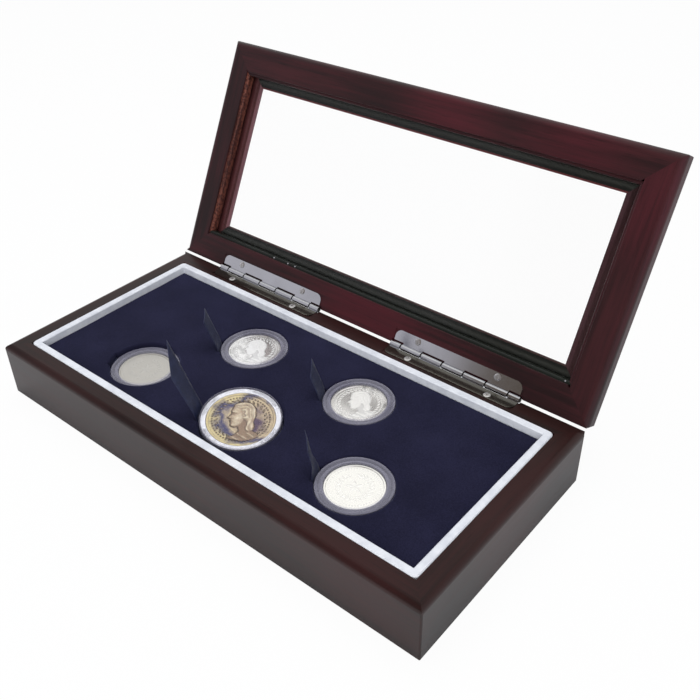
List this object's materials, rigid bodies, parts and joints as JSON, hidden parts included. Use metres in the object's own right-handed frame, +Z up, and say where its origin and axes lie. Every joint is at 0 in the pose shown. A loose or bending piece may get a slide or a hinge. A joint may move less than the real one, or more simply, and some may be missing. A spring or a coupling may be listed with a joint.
{
  "type": "coin display case",
  "caption": "Shallow wooden case with a glazed hinged lid, a velvet tray with round wells, and coins in clear capsules with pull ribbons.",
  "frame": {"origin": "centre of the felt underside of the base, on the surface the case rests on", "axes": "+X along the long side, to the right seen from the front; +Y from the front rail to the hinges; +Z up"},
  "size_m": [0.24, 0.1722, 0.1279],
  "materials": {
    "stained_wood": "satin lacquer",
    "bead_wood": "satin lacquer",
    "board": "plain board",
    "felt": "felt",
    "liner": "matte white",
    "flocked_foam": "flocked",
    "velvet": "velvet",
    "satin_ribbon": "satin",
    "pane": "clear",
    "hinge_plating": "polished",
    "screws": "polished",
    "clear_shell": "clear",
    "white_metal": "struck coin metal",
    "toned_metal": "toned coin metal",
    "spacer_foam": "matte white"
  },
  "bodies": {
    "base": {"base_front_rail": "stained_wood", "base_back_rail": "stained_wood", "base_left_rail": "stained_wood", "base_right_rail": "stained_wood", "floor_panel": "board", "felt_pad": "felt", "tray_liner": "liner", "insert_core": "flocked_foam", "velvet_panel": "velvet", "pull_ribbon_1": "satin_ribbon", "pull_ribbon_2": "satin_ribbon", "pull_ribbon_3": "satin_ribbon", "pull_ribbon_4": "satin_ribbon", "pull_ribbon_5": "satin_ribbon", "hinge_1_base_leaf": "hinge_plating", "hinge_1_pin": "hinge_plating", "hinge_2_base_leaf": "hinge_plating", "hinge_2_pin": "hinge_plating", "base_hinge_screws": "screws"},
    "lid": {"lid_front_rail": "stained_wood", "lid_back_rail": "stained_wood", "lid_left_rail": "stained_wood", "lid_right_rail": "stained_wood", "glass_pane": "pane", "pane_bead_front": "bead_wood", "pane_bead_back": "bead_wood", "pane_bead_left": "bead_wood", "pane_bead_right": "bead_wood", "hinge_1_lid_leaf": "hinge_plating", "hinge_2_lid_leaf": "hinge_plating", "lid_hinge_screws": "screws"},
    "capsule_1": {"capsule_1_lower_shell": "clear_shell", "capsule_1_upper_shell": "clear_shell", "coin_1": "white_metal"},
    "capsule_2": {"capsule_2_lower_shell": "clear_shell", "capsule_2_upper_shell": "clear_shell", "coin_2": "white_metal"},
    "capsule_3": {"capsule_3_lower_shell": "clear_shell", "capsule_3_upper_shell": "clear_shell", "coin_3": "toned_metal", "capsule_3_ring": "spacer_foam"},
    "capsule_4": {"capsule_4_lower_shell": "clear_shell", "capsule_4_upper_shell": "clear_shell", "coin_4": "white_metal"},
    "capsule_5": {"capsule_5_lower_shell": "clear_shell", "capsule_5_upper_shell": "clear_shell", "coin_5": "white_metal"}
  },
  "joints": [
    {"name": "lid_hinge", "type": "hinge", "parent": "base", "child": "lid", "pos_m": [0, 0.0567, 0.0279], "axis": [1, 0, 0], "range_deg": [0, 116.8], "deforming": ["pull_ribbon_2", "pull_ribbon_3", "pull_ribbon_4", "pull_ribbon_5"]},
    {"name": "capsule_1_lift", "type": "slide", "parent": "base", "child": "capsule_1", "axis": [0, 0, 1], "range_m": [0, 0.0074]},
    {"name": "capsule_2_lift", "type": "slide", "parent": "base", "child": "capsule_2", "axis": [0, 0, 1], "range_m": [0, 0.0058]},
    {"name": "capsule_3_lift", "type": "slide", "parent": "base", "child": "capsule_3", "axis": [0, 0, 1], "range_m": [0, 0.0025]},
    {"name": "capsule_4_lift", "type": "slide", "parent": "base", "child": "capsule_4", "axis": [0, 0, 1], "range_m": [0, 0.0058]},
    {"name": "capsule_5_lift", "type": "slide", "parent": "base", "child": "capsule_5", "axis": [0, 0, 1], "range_m": [0, 0.0058]}
  ]
}
